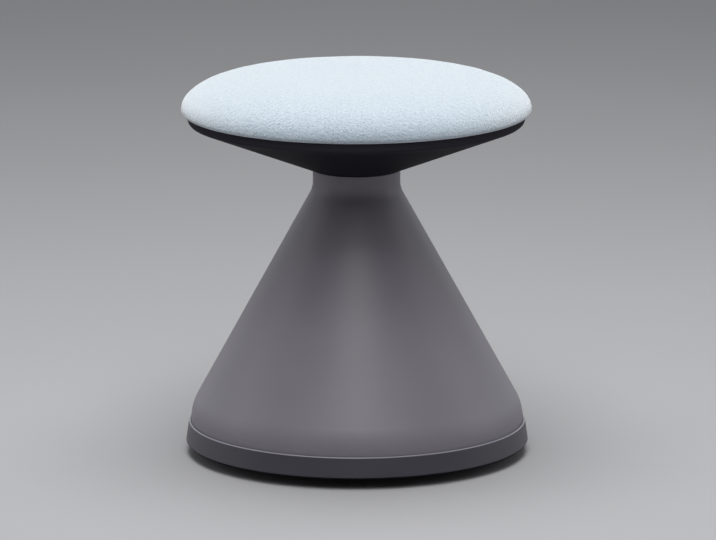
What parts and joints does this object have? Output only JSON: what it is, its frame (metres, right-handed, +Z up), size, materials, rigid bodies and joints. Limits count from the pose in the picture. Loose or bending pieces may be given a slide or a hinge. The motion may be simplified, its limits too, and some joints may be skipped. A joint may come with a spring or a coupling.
{
  "type": "wobble stool",
  "caption": "Round cushioned stool on a weighted cone that rocks on a domed sole, with a swivelling gas lift and a release lever under the back of the seat.",
  "frame": {"origin": "on the floor under the middle of the sole, with the stool upright and its seat at the lowest", "axes": "+Z up through the middle of the seat, -Y towards the front, +Y towards the release lever"},
  "size_m": [0.3958, 0.3958, 0.4368],
  "materials": {
    "seat_fabric": "matte",
    "seat_foam": "matte",
    "plywood": "matte",
    "pan_plastic": "satin",
    "sleeve_plastic": "satin",
    "grip_plastic": "satin",
    "cone_plastic": "satin",
    "rim_plastic": "satin",
    "bush_nylon": "satin",
    "sole_rubber": "matte",
    "seal_rubber": "matte",
    "ballast_iron": "matte",
    "black_steel": "satin",
    "zinc_steel": "satin",
    "polished_steel": "polished"
  },
  "bodies": {
    "base": {"foot_sole": "sole_rubber", "base_plate": "black_steel", "ballast_ring": "ballast_iron", "base_rim": "rim_plastic", "cone_shell": "cone_plastic", "neck_bush": "bush_nylon", "column_socket": "black_steel", "column_tube": "black_steel", "column_bush": "bush_nylon", "end_plate": "zinc_steel", "bearing_race_lower": "zinc_steel", "base_screw_1": "zinc_steel", "base_screw_2": "zinc_steel", "base_screw_3": "zinc_steel", "base_screw_4": "zinc_steel", "base_screw_5": "zinc_steel", "base_screw_6": "zinc_steel", "base_stud_1": "zinc_steel", "base_stud_2": "zinc_steel", "base_stud_3": "zinc_steel", "base_stud_4": "zinc_steel", "base_nut_1": "zinc_steel", "base_nut_2": "zinc_steel", "base_nut_3": "zinc_steel", "base_nut_4": "zinc_steel"},
    "rotor": {"piston_rod": "polished_steel", "piston_head": "zinc_steel", "piston_seal": "seal_rubber", "bearing_race_upper": "polished_steel", "bump_stop": "seal_rubber", "rod_clip": "black_steel"},
    "ball_ring": {"bearing_ball_cage": "polished_steel"},
    "seat": {"seat_cover": "seat_fabric", "seat_foam": "seat_foam", "seat_board": "plywood", "seat_pan": "pan_plastic", "seat_plate": "black_steel", "lift_sleeve": "sleeve_plastic", "pressure_tube": "black_steel", "rod_seal": "seal_rubber", "rod_guide": "zinc_steel", "valve_body": "zinc_steel", "plate_bolt_1": "zinc_steel", "plate_bolt_2": "zinc_steel", "plate_bolt_3": "zinc_steel", "plate_bolt_4": "zinc_steel", "tee_nut_1": "zinc_steel", "tee_nut_2": "zinc_steel", "tee_nut_3": "zinc_steel", "tee_nut_4": "zinc_steel", "pan_screw_1": "black_steel", "pan_screw_2": "black_steel", "pan_screw_3": "black_steel", "pan_screw_4": "black_steel", "lever_pivot_pin": "zinc_steel", "pivot_clip": "black_steel"},
    "lever": {"release_lever": "zinc_steel", "lever_paddle": "grip_plastic"},
    "valve": {"valve_pin": "polished_steel"}
  },
  "joints": [
    {"name": "seat_swivel", "type": "hinge", "parent": "base", "child": "rotor", "pos_m": [0, 0, 0.04], "axis": [0, 0, 1], "continuous": true},
    {"name": "seat_height", "type": "slide", "parent": "rotor", "child": "seat", "axis": [0, 0, 1], "range_m": [0, 0.18]},
    {"name": "ball_ring_turn", "type": "hinge", "parent": "base", "child": "ball_ring", "pos_m": [0, 0, 0.0366], "axis": [0, 0, 1], "continuous": true},
    {"name": "lever_pull", "type": "hinge", "parent": "seat", "child": "lever", "pos_m": [0, 0.038, 0.36683], "axis": [1, 0, 0], "range_deg": [0, 4.5], "stiffness_Nm_per_rad": 20, "springref_deg": -5.73},
    {"name": "valve_press", "type": "slide", "parent": "seat", "child": "valve", "axis": [0, 0, -1], "range_m": [0, 0.003]}
  ],
  "couplings": [
    {"joint": "ball_ring_turn", "follows": "seat_swivel", "ratio": 0.5},
    {"joint": "valve_press", "follows": "lever_pull", "m_per_rad": 0.038}
  ]
}
